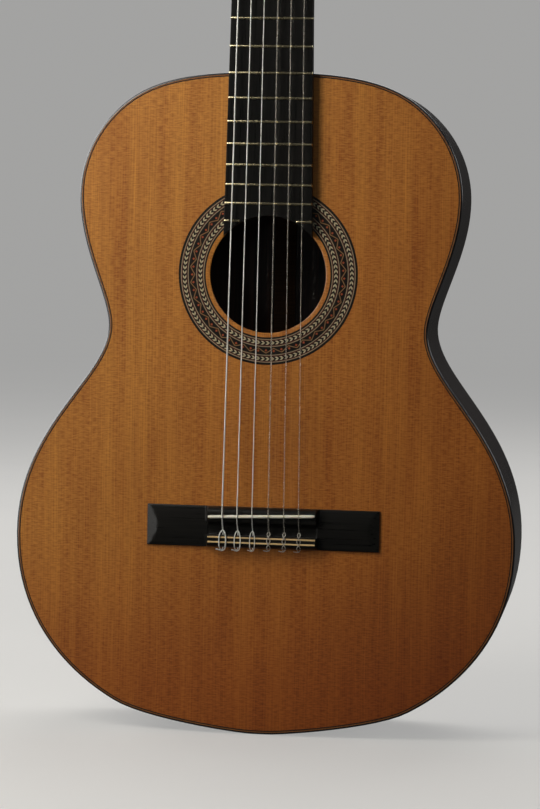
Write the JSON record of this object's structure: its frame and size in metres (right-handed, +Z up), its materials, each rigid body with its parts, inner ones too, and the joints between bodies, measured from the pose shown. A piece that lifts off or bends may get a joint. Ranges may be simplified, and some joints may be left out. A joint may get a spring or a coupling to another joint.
{
  "type": "classical guitar",
  "caption": "Nylon-strung classical guitar with a cedar top, rosewood back and sides, slotted headstock, and geared tuners that turn their string rollers.",
  "frame": {"origin": "flat of the end graft at the tail of the body, on the centre line and half way through the depth of the sides, so the guitar stands upright on z = 0", "axes": "+Z up the neck to the headstock, -Y out of the soundboard to the front, +X to the treble side"},
  "size_m": [0.372, 0.1147, 1.0002],
  "materials": {
    "cedar_top": "polished golden brown cedar, gloss lacquer",
    "rosewood": "dark rosewood, gloss lacquer",
    "binding_rosewood": "brown rosewood strip, gloss lacquer",
    "rosette_mosaic": "wood mosaic under gloss lacquer",
    "mahogany": "red-brown mahogany, satin lacquer",
    "spruce": "bare pale spruce",
    "ebony": "satin black ebony",
    "bone": "off-white bone",
    "nickel_silver": "polished nickel silver",
    "brass": "polished brass",
    "silver_wound": "silver-plated wound string",
    "clear_nylon": "clear nylon string",
    "pearloid": "pearloid button on a steel shaft"
  },
  "bodies": {
    "root": {"soundboard": "cedar_top", "rosette": "rosette_mosaic", "back": "rosewood", "side_bass": "rosewood", "side_treble": "rosewood", "end_graft": "binding_rosewood", "top_binding": "binding_rosewood", "back_binding": "binding_rosewood", "tail_block": "mahogany", "top_lining": "spruce", "back_lining": "spruce", "soundboard_bracing": "spruce", "back_bracing": "spruce", "neck": "mahogany", "headstock": "mahogany", "headstock_veneer": "rosewood", "fingerboard": "ebony", "nut": "bone", "bridge": "ebony", "saddle": "bone", "tuner_plate_bass": "brass", "tuner_plate_treble": "brass", "fret_01": "nickel_silver", "fret_02": "nickel_silver", "fret_03": "nickel_silver", "fret_04": "nickel_silver", "fret_05": "nickel_silver", "fret_06": "nickel_silver", "fret_07": "nickel_silver", "fret_08": "nickel_silver", "fret_09": "nickel_silver", "fret_10": "nickel_silver", "fret_11": "nickel_silver", "fret_12": "nickel_silver", "fret_13": "nickel_silver", "fret_14": "nickel_silver", "fret_15": "nickel_silver", "fret_16": "nickel_silver", "fret_17": "nickel_silver", "fret_18": "nickel_silver", "fret_19_bass": "nickel_silver", "fret_19_treble": "nickel_silver", "string_6_low_e": "silver_wound", "string_5_a": "silver_wound", "string_4_d": "silver_wound", "string_3_g": "clear_nylon", "string_2_b": "clear_nylon", "string_1_high_e": "clear_nylon"},
    "peg_6": {"peg_6": "pearloid"},
    "roller_6": {"roller_6": "brass"},
    "peg_5": {"peg_5": "pearloid"},
    "roller_5": {"roller_5": "brass"},
    "peg_4": {"peg_4": "pearloid"},
    "roller_4": {"roller_4": "brass"},
    "peg_1": {"peg_1": "pearloid"},
    "roller_1": {"roller_1": "brass"},
    "peg_2": {"peg_2": "pearloid"},
    "roller_2": {"roller_2": "brass"},
    "peg_3": {"peg_3": "pearloid"},
    "roller_3": {"roller_3": "brass"}
  },
  "joints": [
    {"name": "peg_6_turn", "type": "hinge", "parent": "root", "child": "peg_6", "pos_m": [-0.0409, -0.03024, 0.85904], "axis": [0, -0.9659, 0.2588], "continuous": true},
    {"name": "roller_6_turn", "type": "hinge", "parent": "root", "child": "roller_6", "pos_m": [0, -0.0283, 0.86629], "axis": [1, 0, 0], "continuous": true},
    {"name": "peg_5_turn", "type": "hinge", "parent": "root", "child": "peg_5", "pos_m": [-0.0409, -0.02118, 0.89285], "axis": [0, -0.9659, 0.2588], "continuous": true},
    {"name": "roller_5_turn", "type": "hinge", "parent": "root", "child": "roller_5", "pos_m": [0, -0.01924, 0.90009], "axis": [1, 0, 0], "continuous": true},
    {"name": "peg_4_turn", "type": "hinge", "parent": "root", "child": "peg_4", "pos_m": [-0.0409, -0.01212, 0.92666], "axis": [0, -0.9659, 0.2588], "continuous": true},
    {"name": "roller_4_turn", "type": "hinge", "parent": "root", "child": "roller_4", "pos_m": [0, -0.01018, 0.9339], "axis": [1, 0, 0], "continuous": true},
    {"name": "peg_1_turn", "type": "hinge", "parent": "root", "child": "peg_1", "pos_m": [0.0409, -0.03024, 0.85904], "axis": [0, -0.9659, 0.2588], "continuous": true},
    {"name": "roller_1_turn", "type": "hinge", "parent": "root", "child": "roller_1", "pos_m": [0, -0.0283, 0.86629], "axis": [1, 0, 0], "continuous": true},
    {"name": "peg_2_turn", "type": "hinge", "parent": "root", "child": "peg_2", "pos_m": [0.0409, -0.02118, 0.89285], "axis": [0, -0.9659, 0.2588], "continuous": true},
    {"name": "roller_2_turn", "type": "hinge", "parent": "root", "child": "roller_2", "pos_m": [0, -0.01924, 0.90009], "axis": [1, 0, 0], "continuous": true},
    {"name": "peg_3_turn", "type": "hinge", "parent": "root", "child": "peg_3", "pos_m": [0.0409, -0.01212, 0.92666], "axis": [0, -0.9659, 0.2588], "continuous": true},
    {"name": "roller_3_turn", "type": "hinge", "parent": "root", "child": "roller_3", "pos_m": [0, -0.01018, 0.9339], "axis": [1, 0, 0], "continuous": true}
  ],
  "couplings": [
    {"joint": "roller_6_turn", "follows": "peg_6_turn", "ratio": 0.071429},
    {"joint": "roller_5_turn", "follows": "peg_5_turn", "ratio": 0.071429},
    {"joint": "roller_4_turn", "follows": "peg_4_turn", "ratio": 0.071429},
    {"joint": "roller_1_turn", "follows": "peg_1_turn", "ratio": 0.071429},
    {"joint": "roller_2_turn", "follows": "peg_2_turn", "ratio": 0.071429},
    {"joint": "roller_3_turn", "follows": "peg_3_turn", "ratio": 0.071429}
  ]
}
